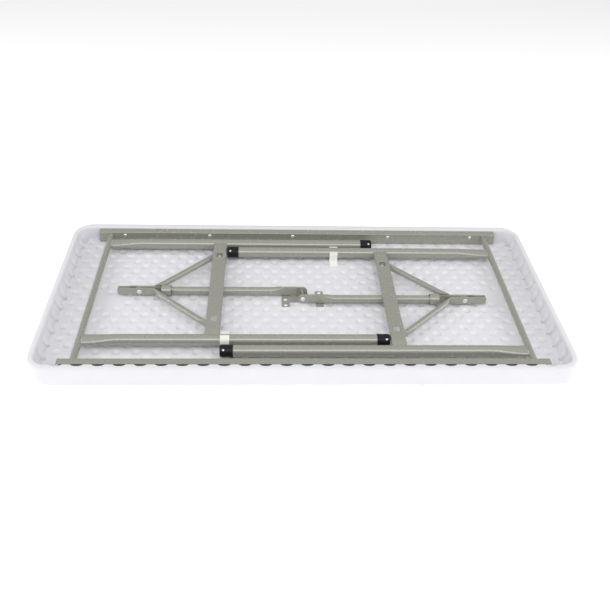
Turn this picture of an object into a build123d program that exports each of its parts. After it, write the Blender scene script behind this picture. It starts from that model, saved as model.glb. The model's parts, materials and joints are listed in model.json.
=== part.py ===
from build123d import *
import math
import os

# Folding table, 4 ft, in its stored pose: working face down, both leg frames folded flat.
# Millimetres. Origin: centre of the working face. +X length, +Y back, +Z out of the underside.
# Every "left" piece is made once; a half turn about Z gives its "right" twin.

# ---- driving dimensions ----
TOP_L, TOP_W, TOP_H = 1220.0, 610.0, 48.0
CORNER_R = 50.0
SKIN = 2.6  # wall of the blow-moulded shell
RIM_END, RIM_SIDE = 18.0, 18.0  # width of the rim at the ends and the long sides
PANEL_Z = 14.0  # underside of the panel inside the rim

PIVOT_X, PIVOT_Z = 512.0, 33.2  # leg hinge axis, one at each end
LEG_D, LEG_T = 27.0, 1.2
LEG_Y_OUT, LEG_Y_IN = 225.0, 186.0  # wide-set and narrow-set leg of each frame
LEG_REACH = 706.0  # hinge axis to the foot cap's end
LEG_OVAL = (33.0, 18.0)  # leg end at the hinge, pressed oval
OVAL_END, OVAL_START, ROUND_START = 6.0, 20.0, 82.0  # distances from the hinge axis
TUBE_D, TUBE_T, TUBE_HALF = 16.0, 1.2, 268.0  # pivot cross tube
CAP_D, CAP_L, CAP_END = 29.5, 30.0, 3.0
CAP_RIVET_IN = 8.5  # from the cap's end

RAIL_T, RAIL_BEND = 1.2, 2.2
RAIL_Y = 264.0  # inner face of the rail web
RAIL_FLANGE = 19.7
RAIL_Z0, RAIL_Z1 = 15.0, 45.0
RAIL_HALF = 543.0
RAIL_SCREW_X = (-474.0, -245.0, -18.0, 245.0, 474.0)
RAIL_SCREW_Z, RAIL_SCREW_L = 36.0, 16.0

BRACE_W, BRACE_TOP, BRACE_T, BRACE_DEPTH = 35.5, 42.9, 1.5, 5.5
WINDOW = (23.0, 43.0)  # long enough to let the arms swing through where the linkage is open
ARM_PIVOT_REACH = 299.0  # leg hinge to the V brace pivot, along the leg
ARM_PIVOT_Z = 31.5
ARM_SPREAD = 146.5  # leg frame's centre line to each arm's flat eye
ARM_D, ARM_BORE = 13.0, 10.6  # V brace tube, outside and inside
ARM_FLAT_T, ARM_FLAT_H, ARM_EYE_H = 4.0, 20.0, 18.0
APEX_X, TAIL_X = -368.0, -457.0

STRUT_Y, STRUT_Z = 16.5, 27.5
STRUT_D, STRUT_T = 19.5, 1.2
STRUT_FLAT_T, STRUT_INNER_H, STRUT_OUTER_H = 5.0, 24.0, 22.0
STRUT_INNER_X = (-44.0, -64.0)  # where the inner flat ends and the round tube starts
STRUT_OUTER_X = (-318.0, -343.0)  # where the round tube ends and the outer flat starts
RING_OD, RING_ID, RING_L = 27.0, 24.6, 23.0
RING_X_LEFT, RING_X_RIGHT = -337.0, 326.5
RING_LIFT = 0.9  # the bore is wider than the strut, and the ring clears the panel

SCREW_D, SCREW_HEAD_D, SCREW_HEAD_H = 4.0, 9.0, 2.6
SCREW_TIP_Z = 5.0
RIVET_D, RIVET_HEAD_D, RIVET_HEAD_H = 6.0, 12.0, 3.0
RUN = 0.05  # radial running clearance of a pin in a plate that turns on it
OPEN_RUN = 0.4  # radial clearance where the linkage is left loose
GAP = 0.05  # clearance between pieces that are welded, seated or screwed together
SIDE_PLAY = 0.4  # clearance between plates that turn past each other

BRACKET_T, FOOT_W, FOOT_HALF, FOOT_X = 1.2, 20.0, 33.0, 42.0
BRACKET_EAR_W = 30.0
BRACKET_SCREW_Y = (-26.0, -3.0)

CLIP_W, CLIP_T, CLIP_TOP, CLIP_TONGUE = 21.0, 2.5, 45.5, 42.0
CLIP_X_BACK, CLIP_X_FRONT = 88.5, -184.0

# ---- derived places ----
FRAME_Y = (LEG_Y_OUT - LEG_Y_IN) / 2  # centre line of the left leg frame
LEG_TIP_X = LEG_REACH - PIVOT_X
BRACE_X = ARM_PIVOT_REACH - PIVOT_X
# With the legs upright the arms and the strut lie in one line, from the arm pivot to the centre
# pivot; folded, both lie flat. The strut's length follows from those two poses.
UPRIGHT_X = -PIVOT_X + PIVOT_Z - ARM_PIVOT_Z
UPRIGHT_Z = PIVOT_Z + ARM_PIVOT_REACH
OPEN_SPAN = math.hypot(UPRIGHT_X, UPRIGHT_Z - STRUT_Z)
RISE = ARM_PIVOT_Z - STRUT_Z
TOGGLE_X = -(OPEN_SPAN**2 - BRACE_X**2 - RISE**2) / (2 * (OPEN_SPAN + BRACE_X))
ARM_OFFSET = STRUT_FLAT_T / 2 + SIDE_PLAY + ARM_FLAT_T / 2  # strut's middle to an arm's middle
WALL_Y = TOP_W / 2 - RIM_SIDE

PIECES = {}


def keep(name, shape):
    """Label a finished piece and remember it for export."""
    shape.label = name
    PIECES[name] = shape


def across(x, y, z, facing=1):
    """A plane whose normal runs along Y, with its own x axis along X."""
    return Plane(origin=(x, y, z), x_dir=(facing, 0, 0), z_dir=(0, facing, 0))


def along(x, y, z):
    """A plane whose normal is +X, with its own x axis along Y and its own y axis along Z."""
    return Plane(origin=(x, y, z), x_dir=(0, 1, 0), z_dir=(1, 0, 0))


def level(x, y, z):
    """A plane whose normal is +Z."""
    return Plane(origin=(x, y, z), x_dir=(1, 0, 0), z_dir=(0, 0, 1))


def stud(plane, shank_d, grip, head_d, head_h, two_heads=False):
    """A screw or rivet: domed head on the plane's +z side, shank down its -z side."""
    upright = Plane(origin=plane.origin, x_dir=plane.x_dir, z_dir=plane.y_dir * -1)
    rim = head_d / 2
    dome_r = (rim**2 + head_h**2) / (2 * head_h)
    half_turn = math.asin(rim / dome_r) / 2
    shoulder_x = dome_r * math.sin(half_turn)
    shoulder_y = head_h - dome_r + dome_r * math.cos(half_turn)
    with BuildPart() as body:
        with BuildSketch(upright):
            with BuildLine():
                if two_heads:
                    Line((0, head_h), (0, -grip - head_h))
                    ThreePointArc((0, -grip - head_h), (shoulder_x, -grip - shoulder_y), (rim, -grip))
                    Line((rim, -grip), (shank_d / 2, -grip))
                else:
                    Polyline((0, head_h), (0, -grip), (shank_d / 2, -grip))
                Polyline((shank_d / 2, -grip), (shank_d / 2, 0), (rim, 0))
                ThreePointArc((rim, 0), (shoulder_x, shoulder_y), (0, head_h))
            make_face()
        revolve(axis=Axis(plane.origin, plane.z_dir))
    return body.part


def group(parts):
    """Identical fasteners as one part of separate solids."""
    with BuildPart() as fasteners:
        for one in parts:
            add(one)
    return fasteners.part


# ---- tabletop: one hollow moulding with a recessed underside ----
clip_places = [(CLIP_X_BACK, LEG_Y_IN), (CLIP_X_FRONT, -LEG_Y_IN)]
bracket_places = [(-FOOT_X, y) for y in BRACKET_SCREW_Y] + [(FOOT_X, -y) for y in BRACKET_SCREW_Y]
POST_R = 7.0
LUG_W = 24.0
LUG_TOP = RAIL_Z1 - RAIL_T - 0.3
LUG_FACE = RAIL_Y + RAIL_T + GAP

with BuildPart() as hollow:
    with BuildSketch(Plane.XY.offset(SKIN)):
        RectangleRounded(TOP_L - 2 * SKIN - 6, TOP_W - 2 * SKIN - 6, CORNER_R - SKIN - 3)
    extrude(amount=TOP_H - 2 * SKIN)
    with BuildSketch(Plane.XY.offset(PANEL_Z - SKIN)):
        RectangleRounded(
            TOP_L - 2 * (RIM_END - SKIN),
            TOP_W - 2 * (RIM_SIDE - SKIN),
            CORNER_R - RIM_SIDE + SKIN,
        )
    extrude(amount=TOP_H, mode=Mode.SUBTRACT)
    # solid posts where the screws bite
    with BuildSketch(Plane.XY.offset(SKIN)):
        with Locations(clip_places + bracket_places):
            Circle(POST_R)
    extrude(amount=PANEL_Z, mode=Mode.SUBTRACT)

with BuildPart() as tabletop:
    with BuildSketch():
        RectangleRounded(TOP_L, TOP_W, CORNER_R)
    extrude(amount=TOP_H)
    fillet(tabletop.faces().sort_by(Axis.Z)[0].edges(), 6.0)
    with BuildSketch(Plane.XY.offset(PANEL_Z)):
        RectangleRounded(TOP_L - 2 * RIM_END, TOP_W - 2 * RIM_SIDE, CORNER_R - RIM_SIDE)
    extrude(amount=TOP_H - PANEL_Z, mode=Mode.SUBTRACT)
    fillet(tabletop.faces().sort_by(Axis.Z)[-1].edges(), 3.0)
    # lugs behind the rails, which take the rail screws
    lug_depth = WALL_Y + 1 - LUG_FACE
    for side in (1, -1):
        with BuildSketch(Plane.XY.offset(PANEL_Z)):
            with Locations([(side * x, side * (LUG_FACE + lug_depth / 2)) for x in RAIL_SCREW_X]):
                Rectangle(LUG_W, lug_depth)
        extrude(amount=LUG_TOP - PANEL_Z)
        for x in RAIL_SCREW_X:
            with BuildSketch(across(side * x, side * RAIL_Y, RAIL_SCREW_Z, side)):
                Circle(SCREW_D / 2 + GAP)
            extrude(amount=RAIL_SCREW_L + 0.5, mode=Mode.SUBTRACT)
    add(hollow.part, mode=Mode.SUBTRACT)
    with BuildSketch(Plane.XY.offset(SCREW_TIP_Z - 0.5)):
        with Locations(clip_places + bracket_places):
            Circle(SCREW_D / 2 + GAP)
    extrude(amount=PANEL_Z, mode=Mode.SUBTRACT)
keep("tabletop", tabletop.part)

# ---- side rails: folded steel, an upright web with a flange turned outwards ----
with BuildPart() as side_rail:
    with BuildSketch(along(-RAIL_HALF, 0, 0)):
        with Locations((RAIL_Y + RAIL_T / 2, (RAIL_Z0 + RAIL_Z1) / 2)):
            Rectangle(RAIL_T, RAIL_Z1 - RAIL_Z0)
        with Locations((RAIL_Y + RAIL_FLANGE / 2, RAIL_Z1 - RAIL_T / 2)):
            Rectangle(RAIL_FLANGE, RAIL_T)
    extrude(amount=2 * RAIL_HALF)
    lengthwise = side_rail.edges().filter_by(Axis.X)
    fillet(lengthwise.group_by(Axis.Z)[-1].sort_by(Axis.Y)[0], RAIL_BEND)
    for x in (-PIVOT_X, PIVOT_X):
        with BuildSketch(across(x, RAIL_Y - 1, PIVOT_Z)):
            Circle(TUBE_D / 2 + RUN)
        extrude(amount=RAIL_T + 2, mode=Mode.SUBTRACT)
    for x in RAIL_SCREW_X:
        with BuildSketch(across(x, RAIL_Y - 1, RAIL_SCREW_Z)):
            Circle(SCREW_D / 2 + GAP)
        extrude(amount=RAIL_T + 2, mode=Mode.SUBTRACT)
keep("side_rail_back", side_rail.part)
keep("side_rail_front", side_rail.part.rotate(Axis.Z, 180))

rail_screws = [
    stud(
        across(side * x, side * RAIL_Y, RAIL_SCREW_Z, -side),
        SCREW_D,
        RAIL_SCREW_L,
        SCREW_HEAD_D,
        SCREW_HEAD_H,
    )
    for side in (1, -1)
    for x in RAIL_SCREW_X
]
keep("rail_screws", group(rail_screws))

# ---- centre bracket: base strip, two feet and two upright ears between the struts ----
EAR_FACE = STRUT_Y - STRUT_FLAT_T / 2 - SIDE_PLAY  # outer face of each ear
with BuildPart() as strut_bracket:
    with BuildSketch(Plane.XY.offset(PANEL_Z)):
        Rectangle(2 * FOOT_X, 2 * EAR_FACE)
        with Locations((-FOOT_X, 0), (FOOT_X, 0)):
            RectangleRounded(FOOT_W, 2 * FOOT_HALF, 3.0)
    extrude(amount=BRACKET_T)
    for side in (1, -1):
        with BuildSketch(across(0, side * (EAR_FACE - BRACKET_T), STRUT_Z, side)):
            Circle(STRUT_INNER_H / 2)
            with BuildLine():
                Polyline(
                    (-STRUT_INNER_H / 2, 0),
                    (STRUT_INNER_H / 2, 0),
                    (BRACKET_EAR_W / 2, STRUT_Z - PANEL_Z),
                    (-BRACKET_EAR_W / 2, STRUT_Z - PANEL_Z),
                    close=True,
                )
            make_face()
        extrude(amount=BRACKET_T)
        with BuildSketch(across(0, side * (EAR_FACE - BRACKET_T - 1), STRUT_Z, side)):
            Circle(RIVET_D / 2 + GAP)
        extrude(amount=BRACKET_T + 2, mode=Mode.SUBTRACT)
    with BuildSketch(Plane.XY.offset(PANEL_Z - 1)):
        with Locations(bracket_places):
            Circle(SCREW_D / 2 + GAP)
    extrude(amount=BRACKET_T + 2, mode=Mode.SUBTRACT)
keep("strut_bracket", strut_bracket.part)

bracket_seat = PANEL_Z + BRACKET_T
bracket_screws = [
    stud(
        level(x, y, bracket_seat),
        SCREW_D,
        bracket_seat - SCREW_TIP_Z,
        SCREW_HEAD_D,
        SCREW_HEAD_H,
    )
    for x, y in bracket_places
]
keep("bracket_screws", group(bracket_screws))

pin_half = STRUT_Y + STRUT_FLAT_T / 2 + SIDE_PLAY
strut_pivot_pin = stud(
    across(0, pin_half, STRUT_Z), RIVET_D, 2 * pin_half, RIVET_HEAD_D, RIVET_HEAD_H, two_heads=True
)
keep("strut_pivot_pin", strut_pivot_pin)


# ---- leg clips: a springy cradle with a tongue, screwed down under the leg ----
CLIP_BORE = LEG_D / 2 + 0.4
CLIP_RECESS = 3.2  # how far the screw head's seat lies under the cradle
CLIP_SEAT = PIVOT_Z - CLIP_BORE - CLIP_RECESS


def leg_clip(x, y, inward):
    """A clip at x on a leg at y; inward is the side its tongue points to."""
    with BuildPart() as clip:
        with BuildSketch(along(x - CLIP_W / 2, y, PIVOT_Z)):
            Circle(CLIP_BORE + CLIP_T)
            with Locations((0, (CLIP_TOP - PIVOT_Z) / 2)):
                Rectangle(2 * (CLIP_BORE + CLIP_T), CLIP_TOP - PIVOT_Z)
            with Locations((0, (PANEL_Z - PIVOT_Z) / 2)):
                Rectangle(2 * CLIP_BORE, PIVOT_Z - PANEL_Z)
            Circle(CLIP_BORE, mode=Mode.SUBTRACT)
            with Locations((0, CLIP_BORE)):
                Rectangle(2 * CLIP_BORE, 2 * CLIP_BORE, mode=Mode.SUBTRACT)
        extrude(amount=CLIP_W)
        with BuildSketch(level(x, y, PANEL_Z)):
            with Locations((0, inward * CLIP_TONGUE / 2)):
                Rectangle(CLIP_W, CLIP_TONGUE)
        extrude(amount=CLIP_T)
        with BuildSketch(level(x, y, PANEL_Z - 1)):
            Circle(SCREW_D / 2 + GAP)
        extrude(amount=10, mode=Mode.SUBTRACT)
        with BuildSketch(level(x, y, CLIP_SEAT)):
            Circle(SCREW_HEAD_D / 2)
        extrude(amount=CLIP_RECESS + 2, mode=Mode.SUBTRACT)
    return clip.part


keep("leg_clip_back", leg_clip(CLIP_X_BACK, LEG_Y_IN, -1))
keep("leg_clip_front", leg_clip(CLIP_X_FRONT, -LEG_Y_IN, 1))

clip_screws = [
    stud(level(x, y, CLIP_SEAT), SCREW_D, CLIP_SEAT - SCREW_TIP_Z, SCREW_HEAD_D - 1, SCREW_HEAD_H)
    for x, y in clip_places
]
keep("clip_screws", group(clip_screws))

# ---- pivot cross tube ----
with BuildPart() as pivot_tube:
    with BuildSketch(across(-PIVOT_X, -TUBE_HALF, PIVOT_Z)):
        Circle(TUBE_D / 2)
        Circle(TUBE_D / 2 - TUBE_T, mode=Mode.SUBTRACT)
    extrude(amount=2 * TUBE_HALF)

# ---- legs and foot caps ----
CAP_SHANK_D, CAP_SHANK_L = 3.0, 4.0


def leg_solid(y, inset, tip_x):
    """The outline of a leg, shrunk by inset: round tube, pressed oval at the hinge."""
    oval = (LEG_OVAL[0] / 2 - inset, LEG_OVAL[1] / 2 - inset)
    round_r = LEG_D / 2 - inset
    with BuildPart() as body:
        with BuildSketch(along(OVAL_END - PIVOT_X, y, PIVOT_Z)):
            Ellipse(*oval)
        extrude(amount=OVAL_START - OVAL_END)
        with BuildSketch(along(OVAL_START - PIVOT_X, y, PIVOT_Z)):
            Ellipse(*oval)
        with BuildSketch(along(ROUND_START - PIVOT_X, y, PIVOT_Z)):
            Circle(round_r)
        loft()
        with BuildSketch(along(ROUND_START - PIVOT_X, y, PIVOT_Z)):
            Circle(round_r)
        extrude(amount=tip_x - ROUND_START + PIVOT_X)
    return body.part


def shoulder(y, face):
    """Where a foot cap's rivet sits, half way between the cap's top and its face side."""
    out = Vector(0, face * math.sqrt(0.5), math.sqrt(0.5))
    origin = Vector(LEG_TIP_X - CAP_RIVET_IN, y, PIVOT_Z) + out * (CAP_D / 2 - 0.2)
    return Plane(origin=origin, x_dir=(1, 0, 0), z_dir=out)


def leg(y, face):
    """A leg tube: coped onto the cross tube at one end, drilled for the cap's rivet at the other."""
    tip_x = LEG_TIP_X - CAP_END - GAP
    with BuildPart() as tube:
        add(leg_solid(y, 0, tip_x))
        add(leg_solid(y, LEG_T, tip_x), mode=Mode.SUBTRACT)
        with BuildSketch(across(-PIVOT_X, y - LEG_OVAL[0], PIVOT_Z)):
            Circle(TUBE_D / 2 + GAP)
        extrude(amount=2 * LEG_OVAL[0], mode=Mode.SUBTRACT)
        with BuildSketch(shoulder(y, face)):
            Circle(CAP_SHANK_D / 2 + GAP)
        extrude(amount=-CAP_SHANK_L - 1, mode=Mode.SUBTRACT)
    return tube.part


def foot_cap(y, face):
    """A plastic cap pushed over the leg's end."""
    with BuildPart() as cap:
        with BuildSketch(along(LEG_TIP_X - CAP_L, y, PIVOT_Z)):
            Circle(CAP_D / 2)
        extrude(amount=CAP_L)
        fillet(cap.faces().sort_by(Axis.X)[-1].edges(), 2.5)
        with BuildSketch(along(LEG_TIP_X - CAP_L, y, PIVOT_Z)):
            Circle(LEG_D / 2 + GAP)
        extrude(amount=CAP_L - CAP_END, mode=Mode.SUBTRACT)
        with BuildSketch(shoulder(y, face).offset(1)):
            Circle(CAP_SHANK_D / 2 + GAP)
        extrude(amount=-CAP_SHANK_L - 1, mode=Mode.SUBTRACT)
    return cap.part


def cap_rivets(face):
    """The rivets of a leg frame's two foot caps."""
    return group(
        stud(shoulder(y, face).offset(0.2), CAP_SHANK_D, CAP_SHANK_L, 5.5, 1.6)
        for y in (LEG_Y_OUT, -LEG_Y_IN)
    )


# ---- cross brace: a shallow channel with two lugs lanced down out of its web ----
LUG_FACE_Y = ARM_SPREAD + ARM_FLAT_T / 2 + SIDE_PLAY  # inner face of a lug, off the centre line
ARM_LUG_W, ARM_LUG_DROP = 14.0, 8.0
NOTCH_L = 40.0
with BuildPart() as brace:
    with BuildSketch(level(BRACE_X, FRAME_Y, BRACE_TOP - BRACE_DEPTH)):
        Rectangle(BRACE_W, LEG_Y_OUT + LEG_Y_IN)
    extrude(amount=BRACE_DEPTH)
    lengthwise = brace.edges().filter_by(Axis.Y)
    fillet(lengthwise.group_by(Axis.Z)[-1], 3.0)
    with BuildSketch(level(BRACE_X, FRAME_Y, BRACE_TOP - BRACE_DEPTH)):
        Rectangle(BRACE_W - 2 * BRACE_T, LEG_Y_OUT + LEG_Y_IN)
    extrude(amount=BRACE_DEPTH - BRACE_T, mode=Mode.SUBTRACT)
    # the outer flange is cut away where the arms pass under it
    with BuildSketch(level(BRACE_X - BRACE_W / 2, FRAME_Y, BRACE_TOP - BRACE_DEPTH)):
        with Locations((0, ARM_SPREAD - 10), (0, 10 - ARM_SPREAD)):
            Rectangle(4 * BRACE_T, NOTCH_L)
    extrude(amount=BRACE_DEPTH - BRACE_T, mode=Mode.SUBTRACT)
    for side in (1, -1):
        with BuildSketch(level(BRACE_X, FRAME_Y, BRACE_TOP - BRACE_T - 1)):
            with Locations((0, side * (LUG_FACE_Y - WINDOW[1] / 2))):
                RectangleRounded(*WINDOW, 3.0)
        extrude(amount=BRACE_T + 2, mode=Mode.SUBTRACT)
        with BuildSketch(across(BRACE_X, FRAME_Y + side * LUG_FACE_Y, ARM_PIVOT_Z, side)):
            Circle(ARM_LUG_DROP)
            with Locations((0, (ARM_PIVOT_Z - BRACE_TOP + 0.8) / 2)):
                Rectangle(ARM_LUG_W, BRACE_TOP - 0.8 - ARM_PIVOT_Z)
        extrude(amount=BRACE_T)
        with BuildSketch(across(BRACE_X, FRAME_Y + side * (LUG_FACE_Y - 1), ARM_PIVOT_Z, side)):
            Circle(RIVET_D / 2 + GAP)
        extrude(amount=BRACE_T + 2, mode=Mode.SUBTRACT)
    # both ends are coped onto the legs
    for y in (LEG_Y_OUT, -LEG_Y_IN):
        with BuildSketch(along(BRACE_X - BRACE_W, y, PIVOT_Z)):
            Circle(LEG_D / 2 + GAP)
        extrude(amount=2 * BRACE_W, mode=Mode.SUBTRACT)

arm_grip = ARM_FLAT_T + SIDE_PLAY * 2 + BRACE_T
brace_rivets = group(
    stud(
        across(BRACE_X, FRAME_Y + side * (LUG_FACE_Y + BRACE_T), ARM_PIVOT_Z, side),
        RIVET_D,
        arm_grip,
        RIVET_HEAD_D - 1,
        RIVET_HEAD_H - 0.6,
        two_heads=True,
    )
    for side in (1, -1)
)


# ---- V brace: two tubes pressed flat at both ends ----
TAIL_CORNER_R = 5.0
CATCH_X, CATCH_W, CATCH_H = -421.5, 9.0, 2.0
BAR_END_X = APEX_X - 6  # the flat bar ends and the tube starts to round
EYE_START_X = BRACE_X - 9
TUBE_INSET = 24.0  # length over which each end turns from flat to round


def v_arm(side):
    """One arm of the V brace: side +1 is the back arm, -1 the front arm."""
    bar_y = STRUT_Y + side * ARM_OFFSET
    eye_y = FRAME_Y + side * ARM_SPREAD
    apex = Vector(APEX_X, bar_y, STRUT_Z)
    knee = Vector(EYE_START_X - 6, eye_y, ARM_PIVOT_Z)
    run = (knee - apex).normalized()
    first = Plane(origin=apex + run * TUBE_INSET, x_dir=(-run.Y, run.X, 0), z_dir=run)
    last = Plane(origin=knee - run * TUBE_INSET, x_dir=(-run.Y, run.X, 0), z_dir=run)
    length = (last.origin - first.origin).length
    with BuildPart() as arm:
        # tail and bar, with a squared end
        with BuildSketch(across(0, bar_y - ARM_FLAT_T / 2, 0)):
            with Locations(((TAIL_X + BAR_END_X) / 2, -STRUT_Z)):
                Rectangle(BAR_END_X - TAIL_X, ARM_FLAT_H)
            if side > 0:
                with Locations((CATCH_X, CATCH_H / 2 - STRUT_Z + ARM_FLAT_H / 2)):
                    Rectangle(CATCH_W, CATCH_H)
            else:
                with Locations((CATCH_X, -STRUT_Z + ARM_FLAT_H / 2)):
                    Rectangle(CATCH_W, 2 * CATCH_H, mode=Mode.SUBTRACT)
        extrude(amount=ARM_FLAT_T)
        fillet(arm.edges().filter_by(Axis.Y).group_by(Axis.X)[0], TAIL_CORNER_R)
        with BuildSketch(along(BAR_END_X, bar_y, STRUT_Z)):
            Rectangle(ARM_FLAT_T, ARM_FLAT_H)
        with BuildSketch(first):
            RectangleRounded(ARM_D, ARM_D, ARM_D * 0.46)
        loft()
        with BuildSketch(first):
            RectangleRounded(ARM_D, ARM_D, ARM_D * 0.46)
            RectangleRounded(ARM_BORE, ARM_BORE, ARM_BORE * 0.46, mode=Mode.SUBTRACT)
        extrude(amount=length)
        with BuildSketch(last):
            RectangleRounded(ARM_D, ARM_D, ARM_D * 0.46)
        with BuildSketch(along(EYE_START_X, eye_y, ARM_PIVOT_Z)):
            Rectangle(ARM_FLAT_T, ARM_EYE_H)
        loft()
        with BuildSketch(across(BRACE_X, eye_y - ARM_FLAT_T / 2, ARM_PIVOT_Z)):
            Circle(ARM_EYE_H / 2)
            with Locations((-(BRACE_X - EYE_START_X) / 2, 0)):
                Rectangle(BRACE_X - EYE_START_X, ARM_EYE_H)
        extrude(amount=ARM_FLAT_T)
        with BuildSketch(across(BRACE_X, eye_y - ARM_FLAT_T, ARM_PIVOT_Z)):
            Circle(RIVET_D / 2 + OPEN_RUN)
        extrude(amount=2 * ARM_FLAT_T, mode=Mode.SUBTRACT)
        with BuildSketch(across(TOGGLE_X, bar_y - ARM_FLAT_T, STRUT_Z)):
            Circle(RIVET_D / 2 + GAP)
        extrude(amount=2 * ARM_FLAT_T, mode=Mode.SUBTRACT)
    return arm.part


toggle_half = ARM_OFFSET + ARM_FLAT_T / 2
toggle_rivet = stud(
    across(TOGGLE_X, STRUT_Y + toggle_half, STRUT_Z),
    RIVET_D,
    2 * toggle_half,
    RIVET_HEAD_D,
    RIVET_HEAD_H,
    two_heads=True,
)

# ---- strut: round tube pressed flat at both ends ----
with BuildPart() as strut:
    for pivot_x, flat_x, height in (
        (0, STRUT_INNER_X[0], STRUT_INNER_H),
        (TOGGLE_X, STRUT_OUTER_X[1], STRUT_OUTER_H),
    ):
        with BuildSketch(across(0, STRUT_Y - STRUT_FLAT_T / 2, STRUT_Z)):
            with Locations((pivot_x, 0)):
                Circle(height / 2)
            with Locations(((pivot_x + flat_x) / 2, 0)):
                Rectangle(abs(pivot_x - flat_x), height)
        extrude(amount=STRUT_FLAT_T)
    for flat_x, round_x, height in (
        (STRUT_INNER_X[0], STRUT_INNER_X[1], STRUT_INNER_H),
        (STRUT_OUTER_X[1], STRUT_OUTER_X[0], STRUT_OUTER_H),
    ):
        with BuildSketch(along(flat_x, STRUT_Y, STRUT_Z)):
            Rectangle(STRUT_FLAT_T, height)
        with BuildSketch(along(round_x, STRUT_Y, STRUT_Z)):
            Circle(STRUT_D / 2)
        loft()
    with BuildSketch(along(STRUT_OUTER_X[0], STRUT_Y, STRUT_Z)):
        Circle(STRUT_D / 2)
        Circle(STRUT_D / 2 - STRUT_T, mode=Mode.SUBTRACT)
    extrude(amount=STRUT_INNER_X[1] - STRUT_OUTER_X[0])
    for pivot_x in (0, TOGGLE_X):
        with BuildSketch(across(pivot_x, STRUT_Y - STRUT_FLAT_T, STRUT_Z)):
            Circle(RIVET_D / 2 + RUN)
        extrude(amount=2 * STRUT_FLAT_T, mode=Mode.SUBTRACT)


def lock_ring(x):
    """The collar that slides along a strut."""
    with BuildPart() as ring:
        with BuildSketch(along(x - RING_L / 2, STRUT_Y, STRUT_Z + RING_LIFT)):
            Circle(RING_OD / 2)
            Circle(RING_ID / 2, mode=Mode.SUBTRACT)
        extrude(amount=RING_L)
    return ring.part


# ---- the two leg sets: the right one is the left one turned half round ----
for hand, turn, face, wide, narrow in (
    ("left", 0, -1, "back", "front"),
    ("right", 180, 1, "front", "back"),
):
    ring_x = RING_X_LEFT if hand == "left" else -RING_X_RIGHT
    for piece, shape in (
        ("pivot_tube", pivot_tube.part),
        ("leg_" + wide, leg(LEG_Y_OUT, face)),
        ("leg_" + narrow, leg(-LEG_Y_IN, face)),
        ("foot_cap_" + wide, foot_cap(LEG_Y_OUT, face)),
        ("foot_cap_" + narrow, foot_cap(-LEG_Y_IN, face)),
        ("cap_rivets", cap_rivets(face)),
        ("cross_brace", brace.part),
        ("brace_rivets", brace_rivets),
        ("v_arm_" + wide, v_arm(1)),
        ("v_arm_" + narrow, v_arm(-1)),
        ("toggle_rivet", toggle_rivet),
        ("strut", strut.part),
        ("lock_ring", lock_ring(ring_x)),
    ):
        keep(hand + "_" + piece, shape.rotate(Axis.Z, turn))

os.makedirs("parts", exist_ok=True)
for name, shape in PIECES.items():
    export_step(shape, "parts/" + name + ".step")
print(len(PIECES), "pieces; toggle pivot at x =", round(TOGGLE_X, 3))
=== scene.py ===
import json
import math

import bmesh
import bpy
from mathutils import Matrix, Vector


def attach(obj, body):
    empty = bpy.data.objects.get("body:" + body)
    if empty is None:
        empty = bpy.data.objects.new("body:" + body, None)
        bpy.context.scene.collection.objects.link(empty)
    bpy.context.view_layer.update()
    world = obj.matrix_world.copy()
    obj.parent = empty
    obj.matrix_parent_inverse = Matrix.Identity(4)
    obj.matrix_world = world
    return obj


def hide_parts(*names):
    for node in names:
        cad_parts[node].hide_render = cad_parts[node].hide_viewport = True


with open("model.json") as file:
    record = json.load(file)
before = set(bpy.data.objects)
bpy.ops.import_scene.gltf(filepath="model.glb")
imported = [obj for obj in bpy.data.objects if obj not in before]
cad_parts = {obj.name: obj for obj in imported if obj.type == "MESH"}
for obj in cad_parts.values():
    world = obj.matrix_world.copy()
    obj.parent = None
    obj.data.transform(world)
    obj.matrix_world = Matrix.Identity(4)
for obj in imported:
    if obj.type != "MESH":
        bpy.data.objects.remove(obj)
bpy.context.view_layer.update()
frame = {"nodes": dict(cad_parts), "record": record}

# Folding table lying on its working face with both leg frames folded flat.
# Lengths are millimetres until a mesh is made; +X length, +Y back, +Z out of the underside.
# Every left-hand piece is drawn once, and a half turn about Z gives its right-hand twin.
MM = 0.001

# ---- camera, at the photograph's viewing angle ----
CAMERA_PLACE = (-0.08994, -1.58135, 1.15866)
CAMERA_DOWN = math.radians(36.27)
CAMERA_YAW = math.radians(3.51)
CAMERA_ROLL = math.radians(2.28)
LENS, SENSOR = 46.18, 36.0

look = Vector(
    (
        math.sin(CAMERA_YAW) * math.cos(CAMERA_DOWN),
        math.cos(CAMERA_YAW) * math.cos(CAMERA_DOWN),
        -math.sin(CAMERA_DOWN),
    )
)
level_right = Vector((math.cos(CAMERA_YAW), -math.sin(CAMERA_YAW), 0))
level_up = level_right.cross(look)
right = level_right * math.cos(CAMERA_ROLL) + level_up * math.sin(CAMERA_ROLL)
up = level_up * math.cos(CAMERA_ROLL) - level_right * math.sin(CAMERA_ROLL)
camera = bpy.data.objects.new("camera", bpy.data.cameras.new("camera"))
camera.data.lens = LENS
camera.data.sensor_width = SENSOR
turn = Matrix((right, up, -look)).transposed()
camera.matrix_world = Matrix.Translation(CAMERA_PLACE) @ turn.to_4x4()
bpy.context.scene.collection.objects.link(camera)
bpy.context.scene.camera = camera
bpy.context.scene.view_settings.view_transform = "Standard"

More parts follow.
